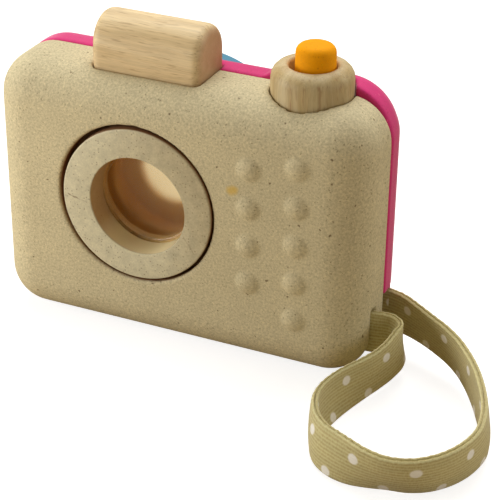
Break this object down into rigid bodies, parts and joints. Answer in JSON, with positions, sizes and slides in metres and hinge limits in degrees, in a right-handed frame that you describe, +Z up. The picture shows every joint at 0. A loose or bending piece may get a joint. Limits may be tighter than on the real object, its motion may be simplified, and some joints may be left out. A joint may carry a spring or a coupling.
{
  "type": "toy camera",
  "caption": "Wooden toy camera with rounded two-tone halves, a turning prism lens, a sprung shutter button, a viewfinder block, a flared eyepiece and a wrist strap loop.",
  "frame": {"origin": "centre of the flat base, on the surface it stands on, at half the depth of the two halves", "axes": "+X to the right seen from the front, along the width; +Y from the lens towards the eyepiece; +Z up"},
  "size_m": [0.1759, 0.1026, 0.1056],
  "materials": {
    "pressed_wood_natural": "matte pressed wood with fine specks",
    "pressed_wood_pink": "matte dyed pressed wood",
    "rubberwood": "satin, grain along the length",
    "rubberwood_turned": "satin, upright grain",
    "orange_wood": "satin dyed wood",
    "end_grain_wood": "satin end grain with fine cracks",
    "blue_wood": "matte dyed wood",
    "dowel_wood": "raw wood",
    "clear_lens": "clear, polished facets",
    "spring_steel": "bright drawn wire",
    "cotton_tape": "woven cotton with pale dots"
  },
  "bodies": {
    "camera": {"front_shell": "pressed_wood_natural", "back_shell": "pressed_wood_pink", "viewfinder_block": "rubberwood", "block_dowels": "dowel_wood", "button_collar": "rubberwood_turned", "button_spring": "spring_steel", "spring_seat": "dowel_wood", "ring_keeper": "dowel_wood", "eyepiece": "blue_wood", "shell_dowels": "dowel_wood", "wrist_strap": "cotton_tape"},
    "lens": {"lens_ring": "end_grain_wood", "faceted_lens": "clear_lens", "lens_retainer": "dowel_wood"},
    "button": {"shutter_button": "orange_wood"}
  },
  "joints": [
    {"name": "lens_ring_turn", "type": "hinge", "parent": "camera", "child": "lens", "pos_m": [-0.012, -0.011, 0.0492], "axis": [0, -1, 0], "continuous": true},
    {"name": "shutter_press", "type": "slide", "parent": "camera", "child": "button", "axis": [0, 0, -1], "range_m": [0, 0.004], "stiffness_N_per_m": 300, "springref_m": -0.002, "deforming": ["button_spring"]}
  ]
}
